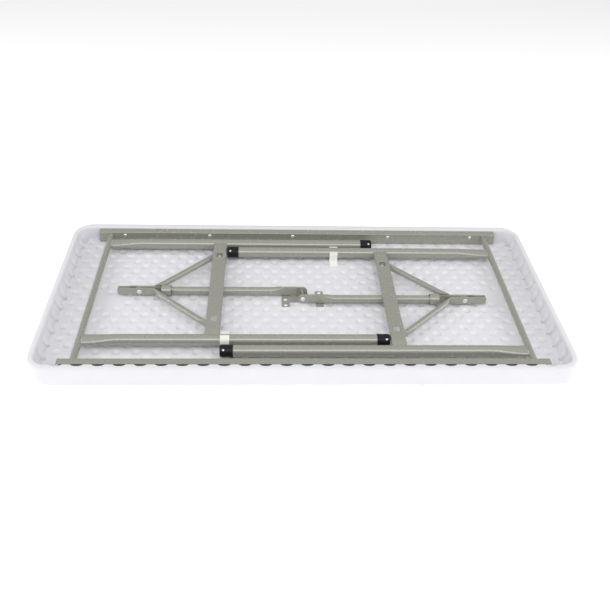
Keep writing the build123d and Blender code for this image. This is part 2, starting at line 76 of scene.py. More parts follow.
# ---- sizes that the CAD part has too ----
TOP_L, TOP_W, TOP_H = 1220.0, 610.0, 48.0
CORNER_R, PANEL_Z = 50.0, 14.0  # PANEL_Z is the underside of the panel inside the rim
PIVOT_X, PIVOT_Z = 512.0, 33.2  # leg hinge axis, one at each end
LEG_D, LEG_REACH = 27.0, 706.0  # LEG_REACH is from the hinge axis to the foot cap's end
TUBE_WALL = 1.2
LEG_Y_OUT, LEG_Y_IN = 225.0, 186.0  # wide-set and narrow-set leg of each frame
LEG_OVAL_W, LEG_OVAL_H = 33.0, 18.0  # leg end at the hinge, pressed oval
OVAL_START, ROUND_START = 20.0, 82.0  # distances from the hinge axis
CAP_D, CAP_L, CAP_END, CAP_RIVET_IN = 29.5, 30.0, 3.0, 8.5  # CAP_RIVET_IN is from the cap's end
BRACE_W, BRACE_TOP, BRACE_T, BRACE_DEPTH = 35.5, 42.9, 1.5, 5.5
NOTCH_L, NOTCH_IN = 40.0, 10.0  # gap in the brace's outer flange, and how far inside the arm it is centred
ARM_PIVOT_REACH, ARM_PIVOT_Z = 299.0, 31.5  # leg hinge to the V brace pivot, along the leg
ARM_SPREAD = 146.5  # leg frame's centre line to each arm's flat eye
ARM_D, ARM_FLAT_T, ARM_FLAT_H, ARM_EYE_H = 13.0, 4.0, 20.0, 18.0
APEX_X, TAIL_X, TAIL_CORNER_R = -368.0, -457.0, 5.0
STRUT_Y, STRUT_Z, STRUT_D, STRUT_FLAT_T = 16.5, 27.5, 19.5, 5.0
STRUT_INNER_H, STRUT_OUTER_H = 24.0, 22.0
RING_OD, RING_ID, RING_L = 27.0, 24.6, 23.0
RING_X = {"left": -337.0, "right": 326.5}
CLIP_W, CLIP_T, CLIP_TONGUE = 21.0, 2.5, 42.0
CLIP_BORE, CLIP_RECESS = LEG_D / 2 + 0.4, 3.2
CLIP_PLACES = {"leg_clip_back": (88.5, LEG_Y_IN, -1), "leg_clip_front": (-184.0, -LEG_Y_IN, 1)}
SIDE_PLAY = 0.4  # clearance between plates that turn past each other

# worked out from those
FRAME_Y = (LEG_Y_OUT - LEG_Y_IN) / 2  # centre line of the left leg frame
LEG_TIP_X = LEG_REACH - PIVOT_X
BRACE_X = ARM_PIVOT_REACH - PIVOT_X
ARM_OFFSET = STRUT_FLAT_T / 2 + SIDE_PLAY + ARM_FLAT_T / 2  # strut's middle to an arm's middle
LUG_Y = ARM_SPREAD + ARM_FLAT_T / 2 + SIDE_PLAY  # inner face of a brace lug, off the centre line
CLIP_SEAT = PIVOT_Z - CLIP_BORE - CLIP_RECESS
# strut and V brace lie in one line when the legs are upright, which places the rivet that joins them
OPEN_SPAN = math.hypot(PIVOT_Z - ARM_PIVOT_Z - PIVOT_X, PIVOT_Z + ARM_PIVOT_REACH - STRUT_Z)
RISE = ARM_PIVOT_Z - STRUT_Z
TOGGLE_X = -(OPEN_SPAN**2 - BRACE_X**2 - RISE**2) / (2 * (OPEN_SPAN + BRACE_X))

# ---- sizes of details that the CAD part leaves out or has otherwise ----
LEG_STATIONS = (5.6, 12.0, 20.0, 27.0, 34.0, 41.0, 48.0, 55.0, 62.0, 70.0, 80.0, 90.0)  # from the hinge axis
LEG_EASE_IN, LEG_EASE_OUT = 6.0, 10.0  # how much the change from oval to round overruns at either end
LEG_BORE_L = 30.0  # how far the open end goes into the leg
WELD_AWAY, WELD_BEAD, WELD_LUMPS = 8.6, 1.4, 26  # distance from the hinge axis, radius, ripples
WELD_IN_W, WELD_IN_H = 0.6, 0.8  # how far the bead's middle sinks into the oval
WINDOW_W, WINDOW_L = 17.5, 22.0  # openings of the brace
COLLAR = 1.3  # radius of the burr round a window
FLANGE_R = 3.0  # outside radius of the brace's bends
BRACE_DROP = 0.02  # the channel's skin lies this far under the CAD part's top face
BRACE_END, BRACE_MID, NOTCH_STEP, WINDOW_MARGIN = 6.0, 60.0, 0.4, 2.0  # spacing of the brace's grid
LUG_R, LUG_NECK = 8.0, 7.0  # a lug's round end, and half its width at the web
CATCH_X, CATCH_H = -427.0, 2.5  # step and notch on the edge of the tail
TAIL_GAP, STRUT_WAIST_T = 3.0, 2.6  # the closed tail folds over the thin part of the strut
WAIST_X = (-390.0, -349.0)  # where that thin part starts and ends
OUTER_TURN, INNER_TURN = (-345.0, 29.0), (-72.0, 30.0)  # flat to round, round to flat: start and length
RING_LIFT = 0.3  # the ring's axis lies this far above the strut's


# ---- materials ----
COAT_ROUGHNESS, COAT_IOR = 0.22, 1.7
NOISE_LOW, NOISE_HIGH = 0.3, 0.7  # the range that noise mostly keeps to
MOTTLE_DETAIL, ROUGH_FINENESS, BUMP_STRENGTH = 4.0, 5, 0.6


def node(tree, kind, **values):
    """A node of that kind with its named inputs set."""
    made = tree.nodes.new(kind)
    for key, value in values.items():
        made.inputs[key.replace("_", " ")].default_value = value
    return made


def noise(tree, scale, detail=2.0):
    """Noise in the piece's own coordinates, scale in waves per metre."""
    place = tree.nodes.new("ShaderNodeTexCoord")
    texture = node(tree, "ShaderNodeTexNoise", Scale=scale, Detail=detail)
    tree.links.new(place.outputs["Object"], texture.inputs["Vector"])
    return texture.outputs["Fac"]


def spread(tree, value, low, high):
    """A noise value remapped to the range low to high."""
    remap = node(tree, "ShaderNodeMapRange", From_Min=NOISE_LOW, From_Max=NOISE_HIGH)
    remap.inputs["To Min"].default_value = low
    remap.inputs["To Max"].default_value = high
    tree.links.new(value, remap.inputs["Value"])
    return remap.outputs["Result"]


def finish_material(
    slot, tone, dark, mottle, rough, grain, grain_height, metallic=0.0, coat=0.0, specular=0.5
):
    """A shader whose colour, roughness and surface each vary at their own scale.

    tone and dark are the colour's two ends, mottle its scale; rough is a (low, high) pair;
    grain is the bump's scale and grain_height its height in metres.
    """
    made = bpy.data.materials.new(slot)
    made.use_nodes = True
    tree = made.node_tree
    shader = tree.nodes["Principled BSDF"]
    shader.inputs["Metallic"].default_value = metallic
    shader.inputs["Coat Weight"].default_value = coat
    shader.inputs["Coat Roughness"].default_value = COAT_ROUGHNESS
    shader.inputs["Coat IOR"].default_value = COAT_IOR
    shader.inputs["Specular IOR Level"].default_value = specular
    mix = tree.nodes.new("ShaderNodeMix")
    mix.data_type = "RGBA"
    mix.inputs["A"].default_value = (*tone, 1.0)
    mix.inputs["B"].default_value = (*dark, 1.0)
    tree.links.new(spread(tree, noise(tree, mottle, MOTTLE_DETAIL), 0.0, 1.0), mix.inputs["Factor"])
    tree.links.new(mix.outputs["Result"], shader.inputs["Base Color"])
    tree.links.new(spread(tree, noise(tree, mottle * ROUGH_FINENESS), *rough), shader.inputs["Roughness"])
    bump = node(tree, "ShaderNodeBump", Strength=BUMP_STRENGTH, Distance=grain_height)
    tree.links.new(noise(tree, grain), bump.inputs["Height"])
    tree.links.new(bump.outputs["Normal"], shader.inputs["Normal"])
    return made


FINISHES = {
    "white_hdpe": {
        "tone": (0.79, 0.785, 0.818), "dark": (0.775, 0.77, 0.805), "mottle": 9.0,
        "rough": (0.34, 0.42), "grain": 1100.0, "grain_height": 0.000012,
    },
    "powder_coat": {
        "tone": (0.29, 0.29, 0.238), "dark": (0.28, 0.28, 0.23), "mottle": 14.0,
        "rough": (0.25, 0.28), "grain": 600.0, "grain_height": 0.0000003, "coat": 1.0, "specular": 1.0,
    },
    "zinc_steel": {
        "tone": (0.9, 0.9, 0.88), "dark": (0.8, 0.8, 0.78), "mottle": 400.0,
        "rough": (0.3, 0.42), "grain": 2500.0, "grain_height": 0.000002, "metallic": 1.0,
    },
    "black_plastic": {
        "tone": (0.008, 0.008, 0.009), "dark": (0.006, 0.006, 0.007), "mottle": 120.0,
        "rough": (0.42, 0.52), "grain": 1600.0, "grain_height": 0.000002, "specular": 0.3,
    },
    "clip_nylon": {
        "tone": (0.9, 0.9, 0.84), "dark": (0.87, 0.87, 0.8), "mottle": 60.0,
        "rough": (0.34, 0.42), "grain": 1300.0, "grain_height": 0.000003,
    },
}
MATERIALS = {slot: finish_material(slot, **finish) for slot, finish in FINISHES.items()}


# ---- mesh helpers ----
X_AXIS, Y_AXIS, Z_AXIS = (1, 0, 0), (0, 1, 0), (0, 0, 1)
MERGE_GAP = 1e-7  # metres
BEVEL_ANGLE = math.radians(40)  # sharper edges than this are rounded
ROUND_COUNT, FLAT_COUNT, HEAD_COUNT = 48, 40, 28  # points round a tube, a pressed tube and a rivet head
STRUT_POWER, TUBE_POWER = 8.0, 2.0  # superellipse powers of the strut's flats and of a round tube


def piece(name, verts, faces, body, slot, nodes=(), half_turn=False, bevel=0.0, smooth_angle=40.0):
    """A mesh object from points in millimetres, riding on a body and standing for CAD nodes."""
    sign = -1.0 if half_turn else 1.0
    mesh = bpy.data.meshes.new(name)
    mesh.from_pydata([(sign * x * MM, sign * y * MM, z * MM) for x, y, z in verts], [], faces)
    build = bmesh.new()
    build.from_mesh(mesh)
    bmesh.ops.remove_doubles(build, verts=build.verts, dist=MERGE_GAP)
    bmesh.ops.recalc_face_normals(build, faces=build.faces)
    build.to_mesh(mesh)
    build.free()
    mesh.shade_smooth()
    mesh.set_sharp_from_angle(angle=math.radians(smooth_angle))
    made = bpy.data.objects.new(name, mesh)
    bpy.context.scene.collection.objects.link(made)
    if bevel:
        soften(made, bevel)
    mesh.materials.append(MATERIALS[slot])
    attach(made, body)
    if nodes:
        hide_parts(*nodes)
    return made


def soften(made, width, segments=2):
    """Rounded edges of that width in millimetres."""
    bevel = made.modifiers.new("edges", "BEVEL")
    bevel.width = width * MM
    bevel.segments = segments
    bevel.limit_method = "ANGLE"
    bevel.angle_limit = BEVEL_ANGLE
    bevel.harden_normals = False


def superellipse(a, b, power, count):
    """Points of a superellipse: power 2 is an ellipse, 8 is nearly a rectangle."""
    points = []
    for i in range(count):
        angle = 2 * math.pi * (i + 0.5) / count
        c, s = math.cos(angle), math.sin(angle)
        points.append(
            (
                a * math.copysign(abs(c) ** (2 / power), c),
                b * math.copysign(abs(s) ** (2 / power), s),
            )
        )
    return points


def band(low, high):
    """Quads between two closed rings of as many points."""
    count = len(low)
    return [(low[k], low[(k + 1) % count], high[(k + 1) % count], high[k]) for k in range(count)]


def hoop_faces(total, section):
    """Faces of a closed hoop of points that come section by section."""
    rings = [range(start, start + section) for start in range(0, total, section)]
    return [quad for low, high in zip(rings, rings[1:] + rings[:1]) for quad in band(low, high)]


def loft(sections, count):
    """A closed skin over sections: (centre, side axis, up axis, half width, half height, power)."""
    verts, faces = [], []
    for centre, side, rise, a, b, power in sections:
        for u, v in superellipse(a, b, power, count):
            verts.append(tuple(Vector(centre) + Vector(side) * u + Vector(rise) * v))
    rings = [range(start, start + count) for start in range(0, len(verts), count)]
    for low, high in zip(rings, rings[1:]):
        faces += band(low, high)
    faces += [tuple(rings[0]), tuple(rings[-1])]
    return verts, faces


def lathe(profile, centre, axis, count):
    """A body turned from (radius, distance along the axis) points; radius 0 closes an end."""
    axis = Vector(axis).normalized()
    side = axis.orthogonal().normalized()
    other = axis.cross(side)
    verts, faces, rings = [], [], []
    for radius, along in profile:
        middle = Vector(centre) + axis * along
        if radius == 0:
            rings.append([len(verts)])
            verts.append(tuple(middle))
            continue
        rings.append(list(range(len(verts), len(verts) + count)))
        for i in range(count):
            angle = 2 * math.pi * i / count
            verts.append(tuple(middle + (side * math.cos(angle) + other * math.sin(angle)) * radius))
    for low, high in zip(rings, rings[1:]):
        for i in range(count):
            j = (i + 1) % count
            quad = [low[i % len(low)], low[j % len(low)], high[j % len(high)], high[i % len(high)]]
            faces.append(tuple(dict.fromkeys(quad)))
    return verts, faces


def merged(*shapes):
    """Several (verts, faces) shapes as one."""
    verts, faces = [], []
    for more_verts, more_faces in shapes:
        start = len(verts)
        verts += more_verts
        faces += [tuple(start + i for i in face) for face in more_faces]
    return verts, faces


def smoothstep(low, high, value):
    """0 up to low, 1 from high on, and an S curve between them."""
    share = min(1.0, max(0.0, (value - low) / (high - low)))
    return share * share * (3 - 2 * share)


# ---- tabletop: dimpled panel, fluted end walls, scalloped long walls, smooth rim ----
PITCH_X, PITCH_Y = 22.55, 23.25  # dimples sit on the alternate squares of a grid of this pitch
COLS, ROWS = 25, 11  # outermost whole columns and rows of the grid, either way from the centre
LATTICE_Y = 3.0  # the lattice stands this far off the middle of the panel
DIMPLE_R, DIMPLE_DEPTH = 11.1, 4.2
DIMPLE_RINGS = (1.0, 0.88, 0.7, 0.46, 0.22)  # shares of the radius
LIP_SHARE, LIP_HEIGHT = 0.95, 0.06  # where the bowl meets the panel, and a small lip just inside it
WALL_X, WALL_Y, WALL_R = 587.0, 284.4, 30.0  # foot of the inner walls
LEAN_END, LEAN_SIDE = 8.0, 0.8  # how far the walls lean outwards
FLUTE_DEPTH, FLUTE_LOW, FLUTE_HIGH = 10.0, 10.0, 15.0  # depth, half width at the foot and at the top
FLUTE_POWER, FLUTE_FADE, FLUTE_TOP = 1.2, 0.3, 0.6  # sharpness, loss up the wall, where it runs out
POCKET_DEPTH, POCKET_HALF = 5.5, 13.5  # scallops of the near long wall
DOT_X, DOT_R, DOT_DEPTH = 585.0, 5.0, 12.0  # deep tack points at the feet of the flutes
DOT_FLAT, DOT_EDGE = 0.4, 1.15  # shares of its radius where a tack point starts to rise, and ends
CORNER_DOTS = ((584.0, 262.0), (568.0, 268.0))  # small pits in each corner
RIM_IN_R, RIM_OUT_R, FOOT_R = 4.5, 5.0, 6.0  # rounding inside the rim, outside it, at the working face
BAND_STEPS, WALL_STEPS, ROUND_STEPS = 8, 8, 3  # rows from the squares to the wall, up it and over the rim
EDGE_STEPS, FOOT_STEPS = 4, 5  # rows over the rim's outer edge, and under the working face's edge
END_SPLIT, SIDE_SPLIT = 4, 2  # fine columns per quarter of the pitch
EDGE_SLACK, STRAIGHT_SLACK = 0.01, 0.001  # for telling edge points and straight stretches of wall
# plain pads in the lattice, each with its half turn: (x, y, half length, half width)
HALF_PADS = (
    (476.0, 12.0, 26.0, 16.0),
    (-42.0, -15.0, 10.0, 22.0),
)
CLIP_PAD_Y = 158.0  # a second pad inwards of each clip's own
PADS = [(sign * x, sign * y, half_x, half_y) for x, y, half_x, half_y in HALF_PADS for sign in (1, -1)]
for clip_x, clip_y, _ in CLIP_PLACES.values():
    PADS.append((clip_x, math.copysign(CLIP_PAD_Y, clip_y), 14.0, 16.0))
    PADS.append((clip_x, clip_y, 10.0, 10.0))


def nearest_multiple(value, step):
    """The multiple of step that lies nearest to value."""
    return round(value / step) * step


def is_plain(x, y):
    """True where a pad interrupts the lattice."""
    return any(abs(x - px) < half_x and abs(y - py) < half_y for px, py, half_x, half_y in PADS)


def bowl(share):
    """Depth of a dimple, as a share of the deepest, at a share of its radius."""
    cap = max(0.0, 1.0 - (share / LIP_SHARE) ** 2)
    return cap + LIP_HEIGHT * (1.0 - smoothstep(0.7, 1.0, share)) * smoothstep(0.4, 0.9, share)


def panel_height(x, y):
    """Height of the panel between the whole squares and the foot of the walls."""
    depth = 0.0
    m, n = round(abs(x) / PITCH_X), round((y - LATTICE_Y) / PITCH_Y)
    for row in (n - 1, n, n + 1):
        for col in (m - 1, m, m + 1):
            if (row + col) % 2 or col > COLS or is_plain(x, y):
                continue
            away = math.hypot(abs(x) - col * PITCH_X, y - LATTICE_Y - row * PITCH_Y)
            depth = max(depth, DIMPLE_DEPTH * bowl(away / DIMPLE_R))
    nearest = LATTICE_Y + nearest_multiple(y - LATTICE_Y, 2 * PITCH_Y)
    dots = [(DOT_X, abs(nearest))] if abs(nearest) < WALL_Y - WALL_R else []
    for dot_x, dot_y in (*dots, *CORNER_DOTS):
        away = math.hypot(abs(x) - dot_x, abs(y) - dot_y)
        depth = max(depth, DOT_DEPTH * (1 - smoothstep(DOT_FLAT, DOT_EDGE, away / DOT_R)))
    return PANEL_Z - depth


def wall_foot(x, y):
    """The foot of the wall that a point on the border of the squares leads to, and its normal."""
    edge_x, edge_y = (COLS + 0.5) * PITCH_X, (ROWS + 0.5) * PITCH_Y
    straight_x, straight_y = WALL_X - WALL_R, WALL_Y - WALL_R
    side_x, side_y = math.copysign(1, x), math.copysign(1, y)
    edge_y += LATTICE_Y * side_y
    if abs(x) > edge_x - EDGE_SLACK and abs(y) <= straight_y:
        return (side_x * WALL_X, y), (side_x, 0.0)
    if abs(y) > edge_y - EDGE_SLACK and abs(x) <= straight_x:
        return (x, side_y * WALL_Y), (0.0, side_y)
    if abs(x) > edge_x - EDGE_SLACK:
        angle = (abs(y) - straight_y) / (edge_y - straight_y) * math.pi / 4
    else:
        angle = math.pi / 2 - (abs(x) - straight_x) / (edge_x - straight_x) * math.pi / 4
    c, s = math.cos(angle), math.sin(angle)
    foot = (side_x * (straight_x + WALL_R * c), side_y * (straight_y + WALL_R * s))
    return foot, (side_x * c, side_y * s)


def wall_offset(foot, normal, rise):
    """How far the wall stands outside its foot at a share of its height."""
    x, y = foot
    lean = LEAN_SIDE + (LEAN_END - LEAN_SIDE) * abs(normal[0])
    out = lean * rise
    if abs(normal[0]) > 1 - STRAIGHT_SLACK:
        half = FLUTE_LOW + (FLUTE_HIGH - FLUTE_LOW) * rise
        away = min(1.0, abs(y - LATTICE_Y - nearest_multiple(y - LATTICE_Y, 2 * PITCH_Y)) / half)
        fade = (1 - FLUTE_FADE * rise) * (1 - smoothstep(FLUTE_TOP, 1.0, rise))
        out += FLUTE_DEPTH * fade * (1 - away) ** FLUTE_POWER
    elif abs(normal[0]) < STRAIGHT_SLACK and normal[1] < 0:
        away = min(1.0, abs(x - nearest_multiple(x, 2 * PITCH_X)) / POCKET_HALF)
        out += POCKET_DEPTH * math.sqrt(1 - away * away)
    return out


def outer_place(foot, normal, inset):
    """The point inset from the outside of the rim, outwards from a wall foot."""
    radius = CORNER_R - inset
    if abs(normal[0]) > 1 - STRAIGHT_SLACK:
        return (normal[0] * (TOP_L / 2 - inset), foot[1])
    if abs(normal[0]) < STRAIGHT_SLACK:
        return (foot[0], normal[1] * (TOP_W / 2 - inset))
    return (
        math.copysign(TOP_L / 2 - CORNER_R, foot[0]) + normal[0] * radius,
        math.copysign(TOP_W / 2 - CORNER_R, foot[1]) + normal[1] * radius,
    )


class Skin:
    """The points and faces of one surface, gathered as it is built."""

    def __init__(self):
        self.verts, self.faces, self.grid = [], [], {}

    def point(self, x, y, z):
        """Adds a point and gives its number."""
        self.verts.append((x, y, z))
        return len(self.verts) - 1

    def corner(self, i, j):
        """A panel point at quarter pitches i and j, made once."""
        if (i, j) not in self.grid:
            self.grid[i, j] = self.point(i * PITCH_X / 4, LATTICE_Y + j * PITCH_Y / 4, PANEL_Z)
        return self.grid[i, j]

    def stitch(self, few, many, first):
        """Joins a coarse ring to a fine one; first holds the fine place of each coarse point."""
        for a in range(len(few)):
            b = (a + 1) % len(few)
            low = first[a]
            high = first[b] if b else len(many)
            half = (low + high) // 2
            for k in range(low, high):
                apex = few[a] if k < half else few[b]
                self.faces.append((apex, many[k], many[(k + 1) % len(many)]))
            self.faces.append((few[a], many[half % len(many)], few[b]))

    def join(self, rings):
        """Quads between each ring and the next."""
        for low, high in zip(rings, rings[1:]):
            self.faces += band(low, high)


# the sixteen points round a square, in quarter pitches from its middle
AROUND = [(i, -2) for i in range(-2, 2)] + [(2, j) for j in range(-2, 2)]
AROUND += [(i, 2) for i in range(2, -2, -1)] + [(-2, j) for j in range(2, -2, -1)]
DIMPLE_TURN = 360 / len(AROUND)


def panel_square(skin, m, n):
    """One square of the panel, dimpled or plain."""
    x, y = m * PITCH_X, LATTICE_Y + n * PITCH_Y
    border = [skin.corner(4 * m + i, 4 * n + j) for i, j in AROUND]
    if (m + n) % 2 or is_plain(x, y):
        skin.faces.append(tuple(border))
        return
    outer = border
    for share in DIMPLE_RINGS:
        z = PANEL_Z - DIMPLE_DEPTH * bowl(share)
        ring = []
        for i, j in AROUND:
            angle = math.radians(DIMPLE_TURN * round(math.degrees(math.atan2(j, i)) / DIMPLE_TURN))
            reach = DIMPLE_R * share
            ring.append(skin.point(x + reach * math.cos(angle), y + reach * math.sin(angle), z))
        skin.faces += band(outer, ring)
        outer = ring
    middle = skin.point(x, y, PANEL_Z - DIMPLE_DEPTH)
    skin.faces += [(low, high, middle) for low, high in zip(outer, outer[1:] + outer[:1])]


def wall_columns():
    """The border of the squares anticlockwise, and the finer columns that leave it for the walls.

    Gives the border's grid points, the columns as (start, wall foot, normal), and the column
    at which each border point starts.
    """
    edge_i, edge_j = 4 * COLS + 2, 4 * ROWS + 2
    border = [(edge_i, j, END_SPLIT, (0, 1)) for j in range(-edge_j, edge_j)]
    border += [(i, edge_j, SIDE_SPLIT, (-1, 0)) for i in range(edge_i, -edge_i, -1)]
    border += [(-edge_i, j, END_SPLIT, (0, -1)) for j in range(edge_j, -edge_j, -1)]
    border += [(i, -edge_j, SIDE_SPLIT, (1, 0)) for i in range(-edge_i, edge_i)]
    columns, starts = [], []
    for i, j, split, (step_i, step_j) in border:
        starts.append(len(columns))
        for k in range(split):
            x = (i + step_i * k / split) * PITCH_X / 4
            y = LATTICE_Y + (j + step_j * k / split) * PITCH_Y / 4
            columns.append(((x, y), *wall_foot(x, y)))
    return [(i, j) for i, j, _, _ in border], columns, starts


def inner_rows(skin, columns):
    """Rows of points from the squares to the foot of the walls, up them and over onto the rim."""
    rows = []

    def row(place):
        rows.append([skin.point(*place(*column)) for column in columns])

    def outwards(foot, normal, out, z):
        return foot[0] + normal[0] * out, foot[1] + normal[1] * out, z

    for step in range(1, BAND_STEPS + 1):
        share = step / BAND_STEPS

        def on_panel(start, foot, normal):
            x, y = (start[axis] + (foot[axis] - start[axis]) * share for axis in (0, 1))
            return x, y, panel_height(x, y)

        row(on_panel)
    shoulder_z = TOP_H - RIM_IN_R
    for step in range(1, WALL_STEPS + 1):
        rise = step / WALL_STEPS

        def on_wall(start, foot, normal):
            low = panel_height(*foot)
            out = wall_offset(foot, normal, rise) - wall_offset(foot, normal, 0.0) * (1 - rise) ** 4
            return outwards(foot, normal, out, low + (shoulder_z - low) * rise)

        row(on_wall)
    for step in range(1, ROUND_STEPS + 1):
        angle = step / ROUND_STEPS * math.pi / 2

        def on_round(start, foot, normal):
            out = wall_offset(foot, normal, 1.0) + RIM_IN_R * (1 - math.cos(angle))
            return outwards(foot, normal, out, shoulder_z + RIM_IN_R * math.sin(angle))

        row(on_round)
    return rows


def outer_profile():
    """(inset, height) of the rim's outside, from its top round to the working face."""
    profile = [(RIM_OUT_R, TOP_H)]
    for step in range(1, EDGE_STEPS + 1):
        angle = step / EDGE_STEPS * math.pi / 2
        profile.append((RIM_OUT_R * (1 - math.sin(angle)), TOP_H - RIM_OUT_R * (1 - math.cos(angle))))
    for step in range(0, FOOT_STEPS + 1):
        angle = step / FOOT_STEPS * math.pi / 2
        profile.append((FOOT_R * (1 - math.cos(angle)), FOOT_R * (1 - math.sin(angle))))
    return profile


def tabletop_shape():
    """The whole moulding: panel, inner walls, rim, outside and the flat working face."""
    skin = Skin()
    for m in range(-COLS, COLS + 1):
        for n in range(-ROWS, ROWS + 1):
            panel_square(skin, m, n)
    border, columns, starts = wall_columns()
    rows = inner_rows(skin, columns)
    skin.stitch([skin.corner(i, j) for i, j in border], rows[0], starts)
    skin.join(rows)
    rings = []
    for inset, z in outer_profile():
        ring = [outer_place(columns[start][1], columns[start][2], inset) for start in starts]
        rings.append([skin.point(x, y, z) for x, y in ring])
    skin.stitch(rings[0], rows[-1], starts)
    skin.join(rings)
    skin.faces.append(tuple(rings[-1]))
    return skin.verts, skin.faces


piece("tabletop_moulding", *tabletop_shape(), "table_top", "white_hdpe", ["tabletop"], smooth_angle=60)

# ---- leg frames ----
SIDES = ("left", "right")


def leg_shape(y):
    """A leg tube, pressed oval over its hinge end and open inside its foot cap."""
    oval_w, oval_h, round_r = LEG_OVAL_W / 2, LEG_OVAL_H / 2, LEG_D / 2
    sections = []
    for away in LEG_STATIONS:
        share = smoothstep(OVAL_START - LEG_EASE_IN, ROUND_START + LEG_EASE_OUT, away)
        a = oval_w + (round_r - oval_w) * share
        b = oval_h + (round_r - oval_h) * share
        sections.append(((away - PIVOT_X, y, PIVOT_Z), Y_AXIS, Z_AXIS, a, b, TUBE_POWER))
    end, bore_r = LEG_TIP_X - CAP_END - 0.2, round_r - TUBE_WALL
    for x, radius in ((end, round_r), (end, bore_r), (end - LEG_BORE_L, bore_r)):
        sections.append(((x, y, PIVOT_Z), Y_AXIS, Z_AXIS, radius, radius, TUBE_POWER))
    return loft(sections, ROUND_COUNT)


def weld_shape(y):
    """The bead that holds a leg to the hinge tube: a hoop of overlapping ripples round the oval."""
    axis, side, rise = Vector(X_AXIS), Vector(Y_AXIS), Vector(Z_AXIS)
    centre = Vector((WELD_AWAY - PIVOT_X, y, PIVOT_Z))
    radius_a, radius_b = LEG_OVAL_W / 2 - WELD_IN_W, LEG_OVAL_H / 2 - WELD_IN_H
    verts, around, section = [], WELD_LUMPS * 4, 8
    for k in range(around):
        angle = 2 * math.pi * k / around
        swell = WELD_BEAD * (0.82 + 0.18 * abs(math.sin(angle * WELD_LUMPS / 2)))
        out = side * math.cos(angle) + rise * math.sin(angle)
        middle = centre + side * radius_a * math.cos(angle) + rise * radius_b * math.sin(angle)
        for j in range(section):
            lean = 2 * math.pi * j / section
            verts.append(tuple(middle + (out * math.cos(lean) + axis * math.sin(lean)) * swell))
    return verts, hoop_faces(len(verts), section)


def cap_shape(y):
    """A push-on foot: rounded end, a slight step and a rolled mouth."""
    r, bore_r = CAP_D / 2, LEG_D / 2 + 0.05
    profile = [
        (bore_r, CAP_L - CAP_END - 1),
        (bore_r, 0.5),
        (LEG_D / 2 + 0.35, 0.0),
        (r - 0.45, 0.0),
        (r, 0.5),
        (r, 2.6),
        (r - 0.25, 3.2),
        (r - 0.25, CAP_L - 5.0),
        (r - 0.4, CAP_L - 3.2),
        (r - 1.0, CAP_L - 1.5),
        (r - 2.1, CAP_L - 0.45),
        (r - 3.6, CAP_L),
        (r - 7.5, CAP_L),
        (r - 8.0, CAP_L - 0.6),
        (0, CAP_L - 0.6),
    ]
    return lathe(profile, (LEG_TIP_X - CAP_L, y, PIVOT_Z), X_AXIS, ROUND_COUNT)


def dome(centre, axis, radius, height, shank):
    """A rivet head: a thin flat edge, a low dome and a round upset mark on top."""
    edge, steps, sweep = 0.25, 5, math.pi / 2 * 0.86
    profile = [(shank, -0.4), (radius * 0.96, -0.1), (radius, edge)]
    for k in range(1, steps + 1):
        angle = k / steps * sweep
        profile.append((radius * math.cos(angle), edge + (height - edge) * math.sin(angle)))
    profile += [(radius * 0.18, height * 0.985), (radius * 0.14, height * 0.93), (0, height * 0.93)]
    return lathe(profile, centre, axis, HEAD_COUNT)


def shoulder_rivet(y, face):
    """The small rivet on a foot cap, between its top and its face side."""
    out = Vector((0, face * math.sqrt(0.5), math.sqrt(0.5)))
    seat = Vector((LEG_TIP_X - CAP_RIVET_IN, y, PIVOT_Z)) + out * (CAP_D / 2 - 0.3)
    return dome(tuple(seat), tuple(out), radius=2.7, height=1.6, shank=1.4)


# ---- cross brace: a rolled channel with a real opening over each arm's eye ----
def window_middle(side):
    """Where the window on that side of the centre line has its middle, along Y."""
    return FRAME_Y + side * (LUG_Y - WINDOW_L / 2)


def notch_middle(side):
    """Where the notch on that side of the centre line has its middle, along Y."""
    return FRAME_Y + side * (ARM_SPREAD - NOTCH_IN)


def coped(y, z):
    """Where a brace point stops, so that the brace's ends follow the legs they meet."""
    for leg_y in (-LEG_Y_IN, LEG_Y_OUT):
        height = BRACE_TOP + z - PIVOT_Z
        clear = math.sqrt(max(0.0, (LEG_D / 2) ** 2 - height * height))
        if abs(y - leg_y) < clear:
            return leg_y + math.copysign(clear, FRAME_Y - leg_y)
    return y


def brace_stations():
    """The places along Y where the brace has a row of points."""
    low, high = -LEG_Y_IN, LEG_Y_OUT
    stations = [low, low + BRACE_END, high - BRACE_END, high]
    stations += [FRAME_Y - BRACE_MID, FRAME_Y, FRAME_Y + BRACE_MID]
    for side in (-1, 1):
        stations += [window_middle(side) + k * WINDOW_L / 4 for k in (-2.6, -2, -1, 0, 1, 2, 2.6)]
        for end in (-1, 1):
            for step in (-NOTCH_STEP, NOTCH_STEP):
                stations.append(notch_middle(side) + end * (NOTCH_L / 2 + step))
    return sorted(stations)


